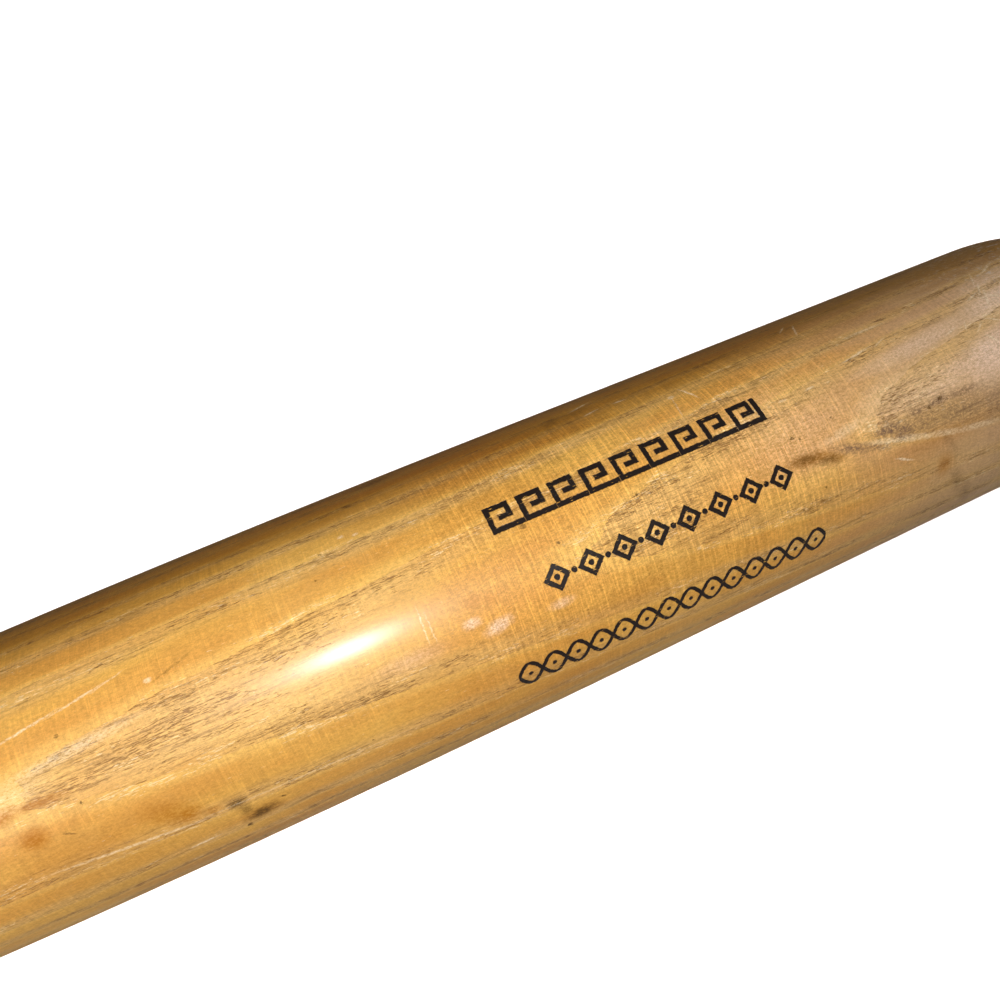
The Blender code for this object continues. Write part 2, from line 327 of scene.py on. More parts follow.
class Wires:
    """Adds nodes to one tree and joins them, so that a pattern reads as a few calls."""

    def __init__(self, tree):
        self.tree = tree

    def node(self, kind, **settings):
        """Add a node and set its properties."""
        made = self.tree.nodes.new("ShaderNode" + kind)
        for name, value in settings.items():
            setattr(made, name, value)
        return made

    def put(self, socket, value):
        """Join a socket to an output, or give it a plain value."""
        if isinstance(value, bpy.types.NodeSocket):
            self.tree.links.new(value, socket)
        else:
            socket.default_value = value

    def fill(self, made, *values):
        """Fill a node's first sockets in order and return its outputs."""
        for socket, value in zip(made.inputs, values):
            self.put(socket, value)
        return made.outputs

    def maths(self, operation, *values):
        """Add a Math node and return its value."""
        return self.fill(self.node("Math", operation=operation), *values)[0]

    plus = partialmethod(maths, "ADD")
    minus = partialmethod(maths, "SUBTRACT")
    times = partialmethod(maths, "MULTIPLY")
    over = partialmethod(maths, "DIVIDE")
    times_plus = partialmethod(maths, "MULTIPLY_ADD")
    unsigned = partialmethod(maths, "ABSOLUTE")

    def centred(self, value):
        """Return a pattern that swings round 0 in place of 0.5."""
        return self.minus(value, 0.5)

    def vector(self, operation, *values, output="Vector"):
        """Add a Vector Math node and return one of its outputs."""
        return self.fill(self.node("VectorMath", operation=operation), *values)[output]

    def length(self, x, y):
        """Return the length of a flat vector."""
        return self.vector("LENGTH", self.joined(x, y), output="Value")

    def shifted(self, place, swing, along, across):
        """Move a place on the surface by a swing that stands for so many mm along and across."""
        return self.vector("MULTIPLY_ADD", swing, (along, across, 0.0), place)

    def scaled(self, vector, along, across):
        """Stretch a pattern: one unit is so many mm along the bat and so many mm across it."""
        made = self.node("Mapping")
        self.put(made.inputs["Vector"], vector)
        made.inputs["Scale"].default_value = [MILLIMETRES / length for length in (along, across, across)]
        return made.outputs[0]

    def split(self, vector):
        """Return the X, Y and Z of a vector."""
        return self.fill(self.node("SeparateXYZ"), vector)

    def joined(self, x, y, z=0.0):
        """Return a vector made of three values."""
        return self.fill(self.node("CombineXYZ"), x, y, z)[0]

    def grey(self, value):
        """Return a grey of one brightness."""
        return self.joined(value, value, value)

    def ramp(self, value, low, high, start=0.0, stop=1.0, kind="SMOOTHSTEP"):
        """Ease from start to stop as a value goes from low to high."""
        return self.fill(self.node("MapRange", interpolation_type=kind), value, low, high, start, stop)[0]

    def fall(self, value, low, high):
        """Ease from 1 to 0 as a value goes from low to high."""
        return self.ramp(value, low, high, 1.0, 0.0)

    def within(self, value, low, low_full, high_full, high):
        """Ease up from low to low_full, and down again from high_full to high."""
        return self.times(self.ramp(value, low, low_full), self.fall(value, high_full, high))

    def noise(self, vector, detail=2.0, roughness=0.5, scale=1.0, colour=False):
        """Add a Noise Texture and return its value or colour."""
        made = self.node("TexNoise")
        self.put(made.inputs["Vector"], vector)
        made.inputs["Scale"].default_value = scale
        made.inputs["Detail"].default_value = detail
        made.inputs["Roughness"].default_value = roughness
        return made.outputs["Color" if colour else 0]

    def grain(self, vector, along, across, **settings):
        """Add noise whose forms are about so many mm long and so many mm across."""
        return self.noise(self.scaled(vector, along, across), **settings)

    def swing(self, vector, along, across, **settings):
        """Return a vector that swings round 0 in a pattern of this size."""
        pattern = self.grain(vector, along, across, colour=True, **settings)
        return self.vector("SUBTRACT", pattern, (0.5, 0.5, 0.5))

    def mix(self, factor, first, second, blend="MIX"):
        """Mix two colours."""
        made = self.node("Mix", data_type="RGBA", blend_type=blend)
        for name, value in (("Factor", factor), ("A", first), ("B", second)):
            self.put(made.inputs[name], value)
        return made.outputs["Result"]

    def largest(self, *values):
        """Return the largest of several masks."""
        found = values[0]
        for value in values[1:]:
            found = self.maths("MAXIMUM", found, value)
        return found

    def use(self, group, **inputs):
        """Place a node group and return its outputs by name."""
        made = self.node("Group", node_tree=group)
        for name, value in inputs.items():
            self.put(made.inputs[label(name)], value)
        return made.outputs

    def bump(self, shader, height, depth):
        """Raise a shader's surface by a pattern, by so many metres for a height of 1."""
        made = self.node("Bump")
        made.inputs["Strength"].default_value = 1.0
        made.inputs["Distance"].default_value = depth
        self.put(made.inputs["Height"], height)
        self.put(shader.inputs["Normal"], made.outputs[0])

    def finish_group(self, **results):
        """Give a group one output for each result, lay it out and return it."""
        for name, value in results.items():
            kind = "NodeSocketVector" if value.type == "VECTOR" else "NodeSocketFloat"
            self.tree.interface.new_socket(name=label(name), in_out="OUTPUT", socket_type=kind)
        end = self.tree.nodes.new("NodeGroupOutput")
        self.fill(end, *results.values())
        arrange(self.tree)
        return self.tree


def new_group(name, *inputs):
    """Start a shader node group with inputs of these names; return its wires and its inputs."""
    tree = bpy.data.node_groups.new(name, "ShaderNodeTree")
    for each in inputs:
        kind = "NodeSocketVector" if each in ("Vector", "Surface", "Map") else "NodeSocketFloat"
        tree.interface.new_socket(name=each, in_out="INPUT", socket_type=kind)
    return Wires(tree), tree.nodes.new("NodeGroupInput").outputs


def shared_group(name, make):
    """Return a node group by name, made the first time that it is asked for."""
    return bpy.data.node_groups.get(name) or make(name)


def arrange(tree):
    """Lay out a tree's nodes in columns, by how far each is from the last one."""
    depth = {node.name: 0 for node in tree.nodes}
    for _ in range(len(tree.nodes)):
        moved = False
        for link in tree.links:
            wanted = depth[link.to_node.name] + 1
            if depth[link.from_node.name] < wanted:
                depth[link.from_node.name] = wanted
                moved = True
        if not moved:
            break
    rows = {}
    for node in tree.nodes:
        column = depth[node.name]
        rows[column] = rows.get(column, 0) + 1
        node.location = (-220.0 * column, -180.0 * rows[column])


def place_group(name):
    """Group that tells where a point lies on the bat: station and angle, and both as millimetres."""
    wires, start = new_group(name, "Vector")
    x, y, z = wires.split(start["Vector"])
    station = wires.times(x, MILLIMETRES)
    angle = wires.maths("DEGREES", wires.maths("ARCTAN2", z, wires.times(y, -1.0)))
    surface = wires.joined(station, wires.times(angle, BARREL_MM_PER_DEGREE))
    return wires.finish_group(station=station, angle=angle, surface=surface)


# Zones of the wood, in mm of station and degrees of angle. Four numbers are where a pattern starts,
# where it is full, where it starts to fade and where it is gone. Two are where it starts and is full.
TURNED_STATIONS = (572.0, 592.0, 640.0, 704.0)
TURNED_ANGLES = (16.0, 48.0, 112.0, 132.0)
# Where the painted shade lies on the sides of the barrel, along the bat and round it, behind and in front
PAINTED_SHADE_STATIONS = (380.0, 500.0, 738.0, 757.0)
PAINTED_SHADE_ANGLES_BEHIND = (99.0, 127.0, 152.0, 178.0)
PAINTED_SHADE_ANGLES_IN_FRONT = (-6.0, 12.0, 42.0, 62.0)
WORN_STATIONS = (640.0, 706.0)
SCUFFED_STATIONS = (694.0, 738.0)
END_GRAIN_STATIONS = (744.0, 758.0)

# Depth in the log, in mm from the bat's axis towards the bark, at which each year's wood starts
RING_EDGES = (7.5, 11.4, 15.5, 18.9, 23.0, 27.4, 30.4, 33.6, 36.8)
RING_SPACING = 3.9
RING_WANDER = 1.6
RING_RAGGEDNESS = 0.45
RING_BARK_ANGLE = math.radians(64.0)
RING_BOW_SLOPE = 0.055
RING_BOW_STATION = 575.0
RING_BOW_ROUND = 30.0
RING_LOW = -38.0
RING_HIGH = 52.0
RING_COUNT = 30.0


def ring_curve(wires, depth):
    """Count the years at a depth in the log, with each year as thick as it grew."""
    edges = list(RING_EDGES)
    while edges[0] > RING_LOW:
        edges.insert(0, edges[0] - RING_SPACING)
    while edges[-1] < RING_HIGH:
        edges.append(edges[-1] + RING_SPACING)
    first = (RING_LOW - edges[0]) / (edges[1] - edges[0])
    last = len(edges) - 2 + (RING_HIGH - edges[-2]) / (edges[-1] - edges[-2])
    curve = wires.node("FloatCurve")
    line = curve.mapping.curves[0]
    line.points[0].location = (0.0, first / RING_COUNT)
    line.points[1].location = (1.0, last / RING_COUNT)
    for year, edge in enumerate(edges[1:-1], 1):
        line.points.new((edge - RING_LOW) / (RING_HIGH - RING_LOW), year / RING_COUNT)
    for point in line.points:
        point.handle_type = "VECTOR"
    curve.mapping.update()
    wires.put(curve.inputs["Value"], wires.ramp(depth, RING_LOW, RING_HIGH, kind="LINEAR"))
    return wires.times(curve.outputs[0], RING_COUNT)


def rings_group(name):
    """Group for flat-sawn growth rings: the spring wood of each year and the bright line before it.

    The rings bow towards the tip, so that they end in long points on the top of the barrel.
    """
    wires, start = new_group(name, "Vector")
    vector = start["Vector"]
    across = (0.0, -math.cos(RING_BARK_ANGLE) * MILLIMETRES, math.sin(RING_BARK_ANGLE) * MILLIMETRES)
    towards_bark = wires.vector("DOT_PRODUCT", vector, across, output="Value")
    past = wires.minus(wires.times(wires.split(vector)[0], MILLIMETRES), RING_BOW_STATION)
    bend = wires.maths("SQRT", wires.times_plus(past, past, RING_BOW_ROUND ** 2))
    bow = wires.times(wires.plus(bend, past), RING_BOW_SLOPE / 2)
    slow = wires.grain(vector, 120.0, 26.0, detail=1.5)
    quick = wires.grain(vector, 14.0, 2.2)
    wander = wires.times(wires.centred(slow), RING_WANDER)
    ragged = wires.times(wires.centred(quick), RING_RAGGEDNESS)
    depth = wires.plus(wires.plus(towards_bark, bow), wires.plus(wander, ragged))
    part_of_year = wires.maths("FRACT", ring_curve(wires, depth))
    return wires.finish_group(
        spring=wires.fall(part_of_year, 0.20, 0.52), line=wires.ramp(part_of_year, 0.84, 0.97)
    )


def pores_group(name):
    """Group for the open pores of ash: short dashes along the grain, crowded in spring wood.

    Most pores are dark with dirt. Others are painted pale, as painted glints of light on the lacquer in them.
    """
    wires, start = new_group(name, "Vector", "Spring", "Line")
    vector = start["Vector"]
    spring = start["Spring"]
    dashes = wires.grain(vector, 1.7, 0.18, roughness=0.7, colour=True)
    dark_dash, bright_dash, fibre = wires.split(dashes)
    patches = wires.split(wires.grain(vector, 12.0, 2.4, colour=True))
    crowd = wires.times(spring, wires.ramp(patches[0], 0.34, 0.66, 0.35, 1.0))
    painted_glint_crowd = wires.times(
        wires.largest(wires.times(spring, 0.8), start["Line"], 0.35), wires.ramp(patches[1], 0.40, 0.68)
    )
    found = []
    for dash, crowded, reach in ((dark_dash, crowd, -0.25), (bright_dash, painted_glint_crowd, -0.24)):
        edge = wires.times_plus(crowded, reach, 0.76)
        found.append(wires.ramp(wires.minus(dash, edge), -0.03, 0.08))
    return wires.finish_group(dark=found[0], bright=found[1], fibre=fibre)


def fibre_group(name):
    """Group for wood fibre: fine streaks along the grain, slow light and dark patches, and a fine speckle."""
    wires, start = new_group(name, "Vector")
    vector = start["Vector"]
    slow = wires.grain(vector, 38.0, 8.0, detail=3.0, roughness=0.55, colour=True)
    patches = wires.split(slow)
    return wires.finish_group(
        streaks=wires.grain(vector, 11.0, 0.60, detail=4.0, roughness=0.75),
        patches=patches[0],
        silk=patches[1],
        speckle=wires.grain(vector, 0.75, 0.42, detail=3.0, roughness=0.95),
    )


def turning_group(name):
    """Group for the fine lines that sanding on the lathe leaves round the bat.

    They are clear in one zone over the front and top of the barrel, and faint in patches elsewhere.
    """
    wires, start = new_group(name, "Vector", "Station", "Angle")
    vector = start["Vector"]
    zone = wires.times(
        wires.within(start["Station"], *TURNED_STATIONS), wires.within(start["Angle"], *TURNED_ANGLES)
    )
    patches = wires.grain(vector, 20.0, 9.0, detail=1.0)
    strength = wires.largest(wires.ramp(patches, 0.36, 0.62, 0.10, 0.42), zone)
    fine = wires.grain(vector, 0.45, 9.0, roughness=0.85)
    cut = wires.minus(fine, 0.49)
    lines = wires.largest(wires.times(cut, 1.6), wires.times(cut, 0.6))
    return wires.finish_group(lines=wires.times(lines, strength), zone=zone)


# Marks on the wood. Each has its station in mm and angle in degrees, half its length and half its
# width in mm, the turn of its length away from the bat's own direction in degrees, how soft its
# edge is from 0 to 1, and how strong it is from 0 to 1.
PALE_MARKS = (
    (513.0, 84.3, 4.2, 0.20, 10.0, 0.6, 0.80),
    (521.0, 86.5, 4.0, 0.18, 11.0, 0.6, 0.70),
    (526.0, 88.2, 2.4, 0.16, 14.0, 0.6, 0.55),
    (532.0, 83.0, 0.55, 0.40, 0.0, 0.6, 0.75),
    (568.5, 106.0, 0.55, 0.35, 0.0, 0.6, 0.7),
    (571.0, 104.5, 0.50, 0.32, 0.0, 0.6, 0.7),
    (575.5, 63.0, 3.0, 0.14, 88.0, 0.5, 0.7),
    (576.6, 61.0, 2.4, 0.12, 92.0, 0.5, 0.6),
    (637.6, 108.5, 0.6, 0.4, 0.0, 0.5, 0.8),
    (641.2, 107.0, 2.0, 0.20, -66.0, 0.6, 0.8),
    (637.0, 102.0, 2.6, 0.14, 80.0, 0.6, 0.5),
    (672.0, 120.0, 2.2, 0.22, 60.0, 0.6, 0.6),
    (670.5, 124.5, 1.6, 0.18, 40.0, 0.6, 0.5),
    (622.5, 119.0, 1.5, 0.20, 8.0, 0.6, 0.6),
    (629.0, 119.0, 1.2, 0.20, -6.0, 0.6, 0.6),
    (622.0, 127.5, 2.2, 0.26, 15.0, 0.7, 0.6),
    (529.0, 18.5, 2.2, 0.22, 0.0, 0.6, 0.7),
    (520.0, 32.3, 9.5, 0.24, -7.0, 0.9, 0.60),
    (546.0, 29.3, 16.0, 0.20, -2.0, 0.9, 0.30),
    (518.0, 71.6, 8.5, 0.80, 5.0, 0.95, 0.55),
    (507.0, 66.0, 5.0, 2.0, 0.0, 0.95, 0.35),
    (676.0, 92.8, 3.0, 0.22, 9.0, 0.9, 0.7),
    (682.5, 94.2, 1.5, 0.18, 20.0, 0.7, 0.5),
    (662.5, 87.0, 1.0, 0.22, 5.0, 0.6, 0.7),
    (656.0, 86.6, 0.9, 0.22, 0.0, 0.6, 0.6),
    (682.0, 102.5, 4.0, 0.30, 0.0, 0.9, 0.5),
    (675.5, 45.4, 1.9, 0.20, -24.0, 0.6, 0.8),
    (672.0, 55.8, 3.6, 0.45, -15.0, 0.9, 0.5),
    (679.0, 52.2, 4.2, 0.55, -15.0, 0.9, 0.5),
    (686.0, 48.8, 4.2, 0.55, -13.0, 0.9, 0.45),
    (694.0, 45.8, 5.0, 0.55, -8.0, 0.9, 0.45),
    (705.0, 76.5, 1.3, 0.25, -55.0, 0.6, 0.8),
    (708.5, 97.4, 1.7, 0.22, 18.0, 0.6, 0.7),
    (711.5, 99.6, 1.8, 0.24, 48.0, 0.6, 0.7),
    (709.8, 95.4, 1.2, 0.20, -20.0, 0.6, 0.6),
    (701.5, 86.0, 1.1, 0.20, 60.0, 0.6, 0.5),
    (704.0, 83.0, 1.4, 0.20, 35.0, 0.6, 0.5),
    (711.0, 94.5, 2.4, 0.26, 60.0, 0.7, 0.7),
    (715.0, 88.0, 2.0, 0.24, 10.0, 0.7, 0.6),
    (708.0, 84.0, 1.6, 0.22, -30.0, 0.7, 0.6),
    (697.5, 86.0, 1.4, 0.22, 15.0, 0.7, 0.6),
    (664.5, 66.0, 4.0, 0.80, 8.0, 0.95, 0.45),
    (713.5, 93.0, 2.2, 0.22, -35.0, 0.6, 0.7),
    (716.5, 97.0, 1.8, 0.22, 70.0, 0.6, 0.6),
    (718.0, 90.0, 2.6, 0.22, 15.0, 0.6, 0.7),
    (722.0, 101.0, 2.8, 0.22, 40.0, 0.6, 0.6),
    (726.0, 94.0, 2.0, 0.24, -50.0, 0.6, 0.6),
    (713.0, 106.0, 2.4, 0.20, 55.0, 0.6, 0.5),
    (719.0, 110.0, 3.0, 0.28, 24.0, 0.7, 0.6),
    (733.0, 118.0, 4.0, 0.26, 8.0, 0.7, 0.6),
)
DARK_MARKS = (
    (536.0, 84.0, 3.4, 0.18, 18.0, 0.6, 0.45),
    (539.3, 20.8, 2.5, 1.1, 8.0, 0.8, 0.95),
    (536.8, 30.2, 1.4, 0.9, 0.0, 0.8, 0.85),
    (537.4, 25.6, 0.9, 1.8, 0.0, 0.95, 0.60),
    (654.5, 61.6, 3.4, 0.9, -6.0, 0.9, 0.75),
    (659.0, 58.2, 2.6, 0.9, -12.0, 0.9, 0.70),
    (536.5, 16.5, 0.45, 0.36, 0.0, 0.4, 0.95),
    (543.5, 24.0, 0.30, 0.26, 0.0, 0.4, 0.85),
    (560.5, 31.0, 0.28, 0.24, 0.0, 0.4, 0.8),
    (517.0, 55.0, 0.28, 0.24, 0.0, 0.4, 0.8),
    (513.5, 47.0, 0.9, 0.20, -30.0, 0.5, 0.7),
    (517.0, 78.0, 0.28, 0.22, 0.0, 0.4, 0.7),
    (562.0, 92.5, 0.26, 0.22, 0.0, 0.4, 0.7),
    (564.0, 102.0, 0.28, 0.22, 0.0, 0.4, 0.7),
    (603.0, 70.5, 0.32, 0.26, 0.0, 0.4, 0.85),
    (620.0, 75.5, 0.30, 0.26, 0.0, 0.4, 0.8),
    (653.5, 71.5, 0.36, 0.28, 0.0, 0.4, 0.85),
    (655.0, 70.0, 0.32, 0.25, 0.0, 0.4, 0.8),
    (663.0, 72.5, 0.30, 0.24, 0.0, 0.4, 0.75),
    (656.5, 48.5, 0.32, 0.26, 0.0, 0.4, 0.8),
    (687.0, 62.7, 0.50, 0.34, 0.0, 0.5, 0.9),
    (684.0, 61.0, 0.45, 0.30, 0.0, 0.5, 0.8),
    (571.5, 122.0, 0.8, 0.5, 0.0, 0.7, 0.6),
    (629.0, 8.0, 0.6, 0.4, 0.0, 0.6, 0.7),
    (598.5, 81.0, 0.55, 0.35, 0.0, 0.5, 0.7),
    (610.0, 101.0, 3.0, 1.0, 0.0, 0.9, 0.25),
    (614.5, 124.0, 2.4, 1.4, 30.0, 0.9, 0.45),
    (620.0, 124.0, 2.6, 0.9, 0.0, 0.9, 0.35),
    (577.5, 135.0, 3.5, 1.6, 0.0, 0.9, 0.50),
    (689.5, 24.0, 3.4, 1.2, -64.0, 0.95, 0.40),
    (693.5, 13.0, 4.4, 1.1, -64.0, 0.95, 0.35),
    (687.0, 44.0, 3.0, 0.9, -64.0, 0.95, 0.25),
)
MAUVE_BRUISES_AND_EDGE_REFLECTION = (
    (664.5, 58.6, 3.8, 0.9, -18.0, 0.9, 0.90),
    (669.6, 55.4, 3.2, 0.7, -18.0, 0.9, 0.80),
    (673.5, 59.6, 3.4, 1.1, 0.0, 0.8, 1.00),
    (677.0, 56.5, 3.0, 1.7, 0.0, 0.9, 0.90),
    (681.0, 61.5, 2.6, 0.8, 0.0, 0.8, 0.80),
    (686.5, 61.8, 3.2, 0.8, 0.0, 0.8, 0.95),
    (692.5, 61.4, 5.0, 0.9, -3.0, 0.9, 0.75),
    (683.0, 57.0, 5.5, 2.1, -8.0, 0.95, 0.60),
    (691.0, 55.0, 8.0, 2.8, -8.0, 0.95, 0.60),
    (701.0, 52.0, 7.0, 3.4, -8.0, 0.95, 0.55),
    # Painted reflection: a long, faint mauve band along the lower edge of the barrel, which stands for the
    # dim floor seen mirrored there
    (556.0, 3.0, 30.0, 2.0, 0.0, 0.95, 0.25),
)
AMBER_MARKS = (
    (508.8, 50.0, 1.9, 1.7, 0.0, 0.75, 1.00),
    (506.0, 60.5, 2.4, 1.2, 0.0, 0.9, 0.95),
    (511.0, 60.5, 3.6, 0.8, -4.0, 0.9, 0.85),
    (527.5, 37.5, 4.4, 2.2, -38.0, 0.95, 0.70),
    (529.5, 35.0, 2.2, 1.6, 0.0, 0.9, 0.90),
    (533.0, 32.0, 1.5, 0.9, 0.0, 0.8, 0.60),
    (539.0, 21.0, 3.2, 1.7, 6.0, 0.95, 0.50),
    (585.0, 64.0, 2.2, 1.5, 0.0, 0.9, 0.45),
    (588.0, 62.0, 1.6, 1.1, 0.0, 0.9, 0.45),
    (655.5, 61.2, 4.4, 0.9, -8.0, 0.9, 0.80),
    (660.0, 58.2, 2.6, 0.8, -18.0, 0.9, 0.60),
    (685.5, 35.0, 1.8, 2.0, 0.0, 0.95, 0.65),
    (594.0, 84.0, 11.0, 22.0, 0.0, 0.95, 0.24),
    (615.0, 40.0, 26.0, 8.0, 0.0, 0.95, 0.22),
    (596.0, 14.0, 16.0, 9.0, 0.0, 0.95, 0.26),
    (520.0, 24.0, 16.0, 11.0, 0.0, 0.95, 0.20),
    (688.0, 48.0, 12.0, 1.6, 0.0, 0.95, 0.35),
)
TAN_MARKS = (
    (587.6, 52.0, 2.2, 1.0, 12.0, 0.8, 0.85),
    (583.4, 56.6, 1.4, 0.8, 0.0, 0.8, 0.70),
    (599.5, 50.2, 2.0, 0.7, 0.0, 0.9, 0.50),
    (571.0, 53.0, 5.0, 1.4, 0.0, 0.95, 0.35),
    (686.0, 70.5, 14.0, 3.4, 4.0, 0.95, 0.90),
    (654.0, 76.0, 13.0, 8.0, 0.0, 0.95, 0.28),
    (690.0, 87.0, 14.0, 1.8, 4.0, 0.95, 0.50),
    (712.0, 90.0, 10.0, 5.0, 30.0, 0.95, 0.80),
    (703.0, 72.0, 9.0, 5.0, 0.0, 0.95, 0.95),
    (727.0, 70.0, 14.0, 12.0, 0.0, 0.95, 0.55),
)


def marks_group(name, marks):
    """Group that shows a list of marks at their places on the wood."""
    wires, start = new_group(name, "Surface")
    found = 0.0
    for station, angle, half_length, half_width, turn, soft, strong in marks:
        spot = wires.node("Mapping", vector_type="TEXTURE")
        wires.put(spot.inputs["Vector"], start["Surface"])
        spot.inputs["Location"].default_value = (station, angle * BARREL_MM_PER_DEGREE, 0.0)
        spot.inputs["Rotation"].default_value = (0.0, 0.0, math.radians(turn))
        spot.inputs["Scale"].default_value = (half_length * (1 + soft), half_width * (1 + soft), 1.0)
        ball = wires.fill(wires.node("TexGradient", gradient_type="SPHERICAL"), spot.outputs[0])
        edge = 2 * soft / (1 + soft)
        found = wires.largest(found, wires.ramp(ball["Fac"], 0.0, edge, 0.0, strong))
    return wires.finish_group(mask=found)


# Bands of pressed ornament on the barrel: first and last station in mm, lower and upper angle
KEY_BAND = (593.0, 651.0, 82.0, 93.0)
LOZENGE_BAND = (597.0, 651.5, 54.0, 65.0)
WAVE_BAND = (588.0, 655.5, 22.5, 33.5)

# One repeat of the key pattern, on a grid of 6 by 5 squares: left, right, bottom and top of each bar
KEY_COLUMNS = 6.0
KEY_ROWS = 5.0
KEY_BARS = (
    (0.0, 6.0, 0.0, 1.0),
    (0.0, 1.0, 0.0, 5.0),
    (0.0, 4.6, 4.0, 5.0),
    (3.6, 4.6, 2.0, 5.0),
    (2.0, 4.6, 2.0, 3.0),
)

# Lozenges: how many, sizes in mm, and their line's middle and edges as shares of the lozenge
LOZENGES = 8
LOZENGE_HALF_LENGTH = 2.75
LOZENGE_DOT = (0.50, 0.62)
LOZENGE_LINE = 0.76
LOZENGE_LINE_EDGE = (0.20, 0.25)

# Waves: how many, and sizes in mm. Their line is thicker on the slopes than at the crests.
WAVES = 7
WAVE_MARGIN = 0.35
WAVE_BEAD = (0.38, 0.52)
WAVE_LINE = 0.26
WAVE_SLOPE_LINE = 0.44
WAVE_LINE_EDGE = (-0.06, 0.10)

# Softness of straight edges, in mm and in squares of the key pattern
EDGE_SOFTNESS = 0.06
KEY_SOFTNESS = 0.10


class Band:
    """One band of ornament: the place along it and up it, in mm from its lower left corner."""

    def __init__(self, wires, surface, limits):
        first, last, low, high = limits
        self.wires = wires
        self.length = last - first
        self.height = (high - low) * BARREL_MM_PER_DEGREE
        place = wires.split(surface)
        self.along = wires.minus(place[0], first)
        self.up = wires.minus(place[1], low * BARREL_MM_PER_DEGREE)
        self.inside = self.box(0.0, self.length)

    def level(self):
        """Return the height above the band's middle line."""
        return self.wires.minus(self.up, self.height / 2)

    def box(self, left, right):
        """Return a mask that is 1 between two places along the band."""
        return box_mask(self.wires, self.along, self.up, (left, right, 0.0, self.height), EDGE_SOFTNESS)

    def repeated(self, repeat):
        """Return the place within one repeat of a pattern, from 0 to 1."""
        return self.wires.maths("FRACT", self.wires.over(self.along, repeat))


def box_mask(wires, along, up, box, soft):
    """Return a mask that is 1 inside a box: left, right, bottom and top."""
    left, right, bottom, top = box
    side = wires.unsigned(wires.minus(along, (left + right) / 2))
    level = wires.unsigned(wires.minus(up, (bottom + top) / 2))
    beyond = wires.largest(wires.minus(side, (right - left) / 2), wires.minus(level, (top - bottom) / 2))
    return wires.fall(beyond, -soft, soft)


def key_pattern(wires, surface):
    """Return the mask of the heavy key pattern."""
    band = Band(wires, surface, KEY_BAND)
    square = band.height / KEY_ROWS
    repeat = band.length / round(band.length / (KEY_COLUMNS * square))
    column = wires.times(band.repeated(repeat), KEY_COLUMNS)
    row = wires.over(band.up, square)
    bars = [box_mask(wires, column, row, bar, KEY_SOFTNESS) for bar in KEY_BARS]
    bars.append(band.box(band.length - square, band.length))
    return wires.times(wires.largest(*bars), band.inside)


def lozenge_pattern(wires, surface):
    """Return the mask of the row of lozenges, each with a dot in it and one beside it."""
    band = Band(wires, surface, LOZENGE_BAND)
    repeat = band.length / LOZENGES
    level = band.level()
    side = wires.times(wires.centred(band.repeated(repeat)), repeat)
    slant = wires.plus(
        wires.over(wires.unsigned(side), LOZENGE_HALF_LENGTH),
        wires.over(wires.unsigned(level), band.height / 2),
    )
    ring = wires.fall(wires.unsigned(wires.minus(slant, LOZENGE_LINE)), *LOZENGE_LINE_EDGE)
    dot = wires.fall(wires.length(side, level), *LOZENGE_DOT)
    from_edge = wires.minus(repeat / 2, wires.unsigned(side))
    beside = wires.fall(wires.length(from_edge, level), *LOZENGE_DOT)
    bead = wires.times(beside, band.box(repeat / 2, band.length - repeat / 2))
    return wires.times(wires.largest(ring, dot, bead), band.inside)


def wave_pattern(wires, surface):
    """Return the mask of two thin waves that cross, with a bead in each loop."""
    band = Band(wires, surface, WAVE_BAND)
    repeat = band.length / WAVES
    level = band.level()
    turn = wires.times(band.along, 2 * math.pi / repeat)
    swing = wires.times(wires.maths("SINE", turn), band.height / 2 - WAVE_MARGIN)
    slope = wires.unsigned(wires.maths("COSINE", turn))
    width = wires.times_plus(slope, WAVE_SLOPE_LINE, WAVE_LINE)
    apart = (wires.minus(level, swing), wires.plus(level, swing))
    lines = [wires.fall(wires.minus(wires.unsigned(each), width), *WAVE_LINE_EDGE) for each in apart]
    loop = wires.times(wires.centred(band.repeated(repeat / 2)), repeat / 2)
    bead = wires.fall(wires.length(loop, level), *WAVE_BEAD)
    return wires.times(wires.largest(*lines, bead), band.inside)


def ornament_group(name):
    """Group for the bands of foil pressed into the barrel, with ragged edges and gaps over the grain."""
    wires, start = new_group(name, "Surface", "Vector")
    surface = wires.shifted(start["Surface"], wires.swing(start["Vector"], 0.7, 0.5), 0.34, 0.34)
    pressed = wires.largest(
        key_pattern(wires, surface), lozenge_pattern(wires, surface), wave_pattern(wires, surface)
    )
    specks = wires.grain(start["Vector"], 1.6, 0.24)
    foil = wires.times(pressed, wires.ramp(specks, 0.27, 0.34))
    return wires.finish_group(mask=foil, depth=pressed)


def grime_group(name):
    """Group for handling dirt, in slow patches broken by fine ones. Wood and cloth share it."""
    wires, start = new_group(name, "Vector", "Patch Length", "Amount")
    scale = wires.node("VectorMath", operation="SCALE")
    wires.put(scale.inputs["Vector"], start["Vector"])
    wires.put(scale.inputs["Scale"], wires.over(MILLIMETRES, start["Patch Length"]))
    stretched = scale.outputs["Vector"]
    slow = wires.noise(stretched, detail=4.0, roughness=0.62)
    fine = wires.noise(stretched, detail=3.0, roughness=0.7, scale=9.0)
    edge = wires.minus(0.72, wires.times(start["Amount"], 0.35))
    mask = wires.ramp(wires.times_plus(fine, 0.25, slow), edge, wires.plus(edge, 0.28))
    return wires.finish_group(mask=mask, fine=fine)


def tip_wear_group(name):
    """Group for the worn lacquer towards the tip: a grey that grows with the station, and whitish scuffs."""
    wires, start = new_group(name, "Vector", "Station")
    vector = start["Vector"]
    patches = wires.grain(vector, 26.0, 9.0, detail=4.0, roughness=0.6)
    shifted = wires.times_plus(wires.centred(patches), 46.0, start["Station"])
    speckle = wires.grain(vector, 1.5, 0.9, detail=4.0, roughness=0.75)
    return wires.finish_group(
        grey=wires.ramp(shifted, *WORN_STATIONS),
        scuffs=wires.times(wires.ramp(speckle, 0.52, 0.66), wires.ramp(shifted, *SCUFFED_STATIONS)),
    )


